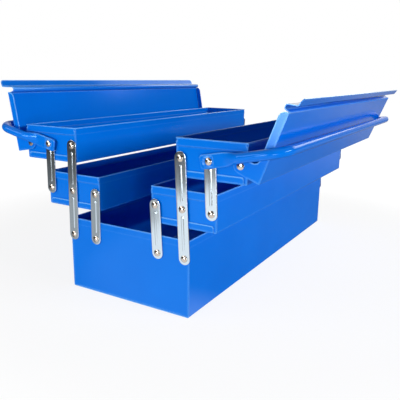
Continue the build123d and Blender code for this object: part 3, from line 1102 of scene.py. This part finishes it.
class ToolBoxPaint(bpy.types.PropertyGroup):
    """Powder coat of the sheet and the handles"""

    colour: colour_property("Colour", "Full film", "007AEC")
    thin: colour_property("Thin Film", "Where the film is thinner", "0072E2")
    # Painted highlight: the pale colour laid along outer edges
    painted_edge_highlight: colour_property("Edge Highlight", "Along outer edges", "7CC4FF")
    # Painted shade: the dark colour laid in inner corners
    crease_shade: colour_property("Crease", "In inner corners", "00206E")
    sheen: colour_property("Sheen", "Tint of the film's reflections", "A0D0FF")
    roughness: share_property("Roughness", "Of the film", 0.14)
    peel_strength: share_property("Peel Strength", "How strongly the swells show", 0.25)
    peel_size: length_property("Peel Size", "Width of an orange-peel swell", 3.0 * MM)
    peel_height: length_property("Peel Height", "Height of a swell", 0.05 * MM)
    # Reaches of the painted edge highlight and of the painted crease shade
    highlight_reach: length_property("Bead Width", "Reach of the paler edge", 3.0 * MM)
    crease_reach: length_property("Crease Reach", "Reach of the dark crease", 2.0 * MM)
    film_patch: length_property("Film Patch", "Width of a patch of even film", 60.0 * MM)


class ToolBoxPlating(bpy.types.PropertyGroup):
    """Zinc plate of the links and nickel plate of the rivets"""

    colour: colour_property("Zinc", "Plate of the links", "D2E0EA")
    nickel: colour_property("Nickel", "Plate of the rivets", "DDD3C9")
    nickel_dull: colour_property("Dull Nickel", "Duller spots of the rivets", "B9ADA2")
    roughness: share_property("Roughness", "Of the zinc", 0.12)
    rivet_roughness: share_property("Rivet Roughness", "Of the nickel", 0.12)
    line_stretch: share_property("Line Stretch", "Width of a line over its length", 0.04)
    line_width: length_property("Line Width", "Spacing of the rolling lines", 0.8 * MM)
    mark_size: length_property("Mark Size", "Width of a tool mark", 0.6 * MM)


class ToolBoxStage(bpy.types.PropertyGroup):
    """Floor, lamps and camera"""

    focal: bpy.props.FloatProperty(
        name="Focal Length", description="Of the lens", default=44.81, min=1, unit="CAMERA"
    )
    key_power: power_property("Key Box", "Small low box towards the near front corner", 1.8)
    left_power: power_property("Left Box", "Low soft box beyond the near end", 8.2)
    front_power: power_property("Front Box", "Wide low soft box far in front", 52.0)
    right_rim_power: power_property(
        "Right Rim Box", "Beyond the far end, mirrored in the long rims", 10.0
    )
    left_rim_power: power_property(
        "Left Rim Box", "Behind the near end, mirrored in the rims of the ends", 4.0
    )
    table_glow: share_property("Table Glow", "Light that the lit table sends up", 0.42)
    sky: share_property("Sky", "Light from all round", 0.03)


# Operators


class TOOLBOX_OT_finishes(bpy.types.Operator):
    """Make the finishes and give each CAD node its own"""

    bl_idname = "toolbox.finishes"
    bl_label = "Finishes"

    def execute(self, context):
        """Paint goes on the sheet and handles, plate on the links and rivets."""
        paint = powder_coat(context.scene.toolbox_paint)
        plate = bright_zinc(context.scene.toolbox_plating)
        nickel = warm_nickel(context.scene.toolbox_plating)
        for name, node in frame["nodes"].items():
            coat, slot = paint, PAINT_SLOT
            if "link" in name:
                coat, slot = plate, PLATE_SLOT
            if "rivets" in name:
                coat, slot = nickel, PLATE_SLOT
            node.data.materials.clear()
            node.data.materials.append(coat)
        return {"FINISHED"}


class TOOLBOX_OT_edges(bpy.types.Operator):
    """Round the sheared edges of the sheet so that they catch the light"""

    bl_idname = "toolbox.edges"
    bl_label = "Sheet Edges"

    def execute(self, context):
        """Join the loose facets, then round each sharp edge over nearly half the sheet."""
        for name in nodes_named("box_body", "box_end", "tray", "lid"):
            if "rivets" in name:
                continue
            node = frame["nodes"][name]
            weld = node.modifiers.new("Weld", "WELD")
            weld.merge_threshold = SHEET_WELD
            bevel = node.modifiers.new("Edge", "BEVEL")
            bevel.width = context.scene.toolbox_sizes.sheet_edge
            bevel.segments = 2
            bevel.limit_method = "ANGLE"
            bevel.angle_limit = radians(SHARP_SHEET)
            bevel.harden_normals = True
        return {"FINISHED"}


class TOOLBOX_OT_links(bpy.types.Operator):
    """Press the twelve links with their ribs"""

    bl_idname = "toolbox.links"
    bl_label = "Links"

    def execute(self, context):
        """Each new link stands for a CAD link."""
        plate = material_named("bright_zinc_plate")
        for node in nodes_named("link"):
            place_link(node, context.scene.toolbox_sizes, plate)
        return {"FINISHED"}


class TOOLBOX_OT_rivets(bpy.types.Operator):
    """Turn the rivets with their domed heads"""

    bl_idname = "toolbox.rivets"
    bl_label = "Rivets"

    def execute(self, context):
        """Each group of new rivets stands for a CAD group."""
        nickel = material_named("warm_nickel_plate")
        sizes = context.scene.toolbox_sizes
        seat, grip = LINK_FACE, LINK_FACE + LINK_SHEET
        crown = grip + END_PLAY + sizes.head_height
        ends = {node: link_ends(node) for node in nodes_named("link_left")}
        box = []
        for side in SIDES:
            for kind in ("long", "lower"):
                box.append((ends[f"{side}_{kind}_link_left"][0], BOX_FACE, seat, grip, crown))
        place_rivets("box_rivets", box, nickel)
        for side in SIDES:
            long_low, long_high = ends[f"{side}_long_link_left"]
            lower_high = ends[f"{side}_lower_link_left"][1]
            upper_low, upper_high = ends[f"{side}_upper_link_left"]
            middle = [(long_low + long_high) / 2, lower_high, upper_low]
            rows = [(place, TRAY_FACE, seat, grip, crown) for place in middle]
            place_rivets(f"{side}_middle_rivets", rows, nickel)
            handle_grip = FLAT_MIDDLE + FLAT_THICKNESS / 2 - sizes.press_depth
            handle_crown = handle_grip + END_PLAY + sizes.head_height
            spacer = (grip + END_PLAY, FLAT_MIDDLE - FLAT_THICKNESS / 2 - END_PLAY)
            rows = [
                (long_high, TRAY_FACE, seat, grip, crown),
                (upper_high, TRAY_FACE, seat, handle_grip, handle_crown, *spacer),
            ]
            place_rivets(f"{side}_top_rivets", rows, nickel)
            cheek_grip = CHEEK_FACE + PANEL_SHEET
            cheek_crown = cheek_grip + END_PLAY + sizes.lid_head_height
            hinge = joint_at(f"{side}_lid_hinge")
            rows = [(hinge, TRAY_FACE, CHEEK_FACE, cheek_grip, cheek_crown)]
            place_rivets(f"{side}_lid_rivets", rows, nickel)
        return {"FINISHED"}


class TOOLBOX_OT_handles(bpy.types.Operator):
    """Bend the two handles and flatten their ends"""

    bl_idname = "toolbox.handles"
    bl_label = "Handles"

    def execute(self, context):
        """Each new handle stands for a CAD handle."""
        for side in SIDES:
            place_handle(side, context.scene.toolbox_sizes, material_named("blue_powder_coat"))
        return {"FINISHED"}


class TOOLBOX_OT_stage(bpy.types.Operator):
    """Build the floor, the lamps, the sky and the camera"""

    bl_idname = "toolbox.stage"
    bl_label = "Stage"

    def execute(self, context):
        """Stand the box on a pale floor in soft light, seen as in the photograph."""
        settings = context.scene.toolbox_stage
        build_floor(settings.table_glow)
        build_sky(settings.sky)
        for name, (*shape, power) in LAMPS.items():
            area_lamp(name, *shape, getattr(settings, power))
        build_camera(settings.focal)
        context.scene.view_settings.view_transform = "Standard"
        return {"FINISHED"}


# Panel and registration


class TOOLBOX_PT_sidebar(bpy.types.Panel):
    """Steps that dress the tool box"""

    bl_label = "Tool Box"
    bl_idname = "TOOLBOX_PT_sidebar"
    bl_space_type = "VIEW_3D"
    bl_region_type = "UI"
    bl_category = "Tool Box"

    def draw(self, context):
        """List the steps in the order they run."""
        for step in STEPS:
            self.layout.operator(step.bl_idname)


GROUPS = {
    "toolbox_sizes": ToolBoxSizes,
    "toolbox_paint": ToolBoxPaint,
    "toolbox_plating": ToolBoxPlating,
    "toolbox_stage": ToolBoxStage,
}
STEPS = (
    TOOLBOX_OT_finishes,
    TOOLBOX_OT_edges,
    TOOLBOX_OT_links,
    TOOLBOX_OT_rivets,
    TOOLBOX_OT_handles,
    TOOLBOX_OT_stage,
)


def register():
    """Add the classes and hang the settings on the scene."""
    for group in (*GROUPS.values(), *STEPS, TOOLBOX_PT_sidebar):
        bpy.utils.register_class(group)
    for name, group in GROUPS.items():
        setattr(bpy.types.Scene, name, bpy.props.PointerProperty(type=group))


def unregister():
    """Take away what register added."""
    for name in GROUPS:
        delattr(bpy.types.Scene, name)
    for group in reversed((*GROUPS.values(), *STEPS, TOOLBOX_PT_sidebar)):
        bpy.utils.unregister_class(group)


def main():
    """Dress the box step by step."""
    register()
    bpy.ops.toolbox.finishes()
    bpy.ops.toolbox.edges()
    bpy.ops.toolbox.links()
    bpy.ops.toolbox.rivets()
    bpy.ops.toolbox.handles()
    bpy.ops.toolbox.stage()


if __name__ == "__main__":
    main()
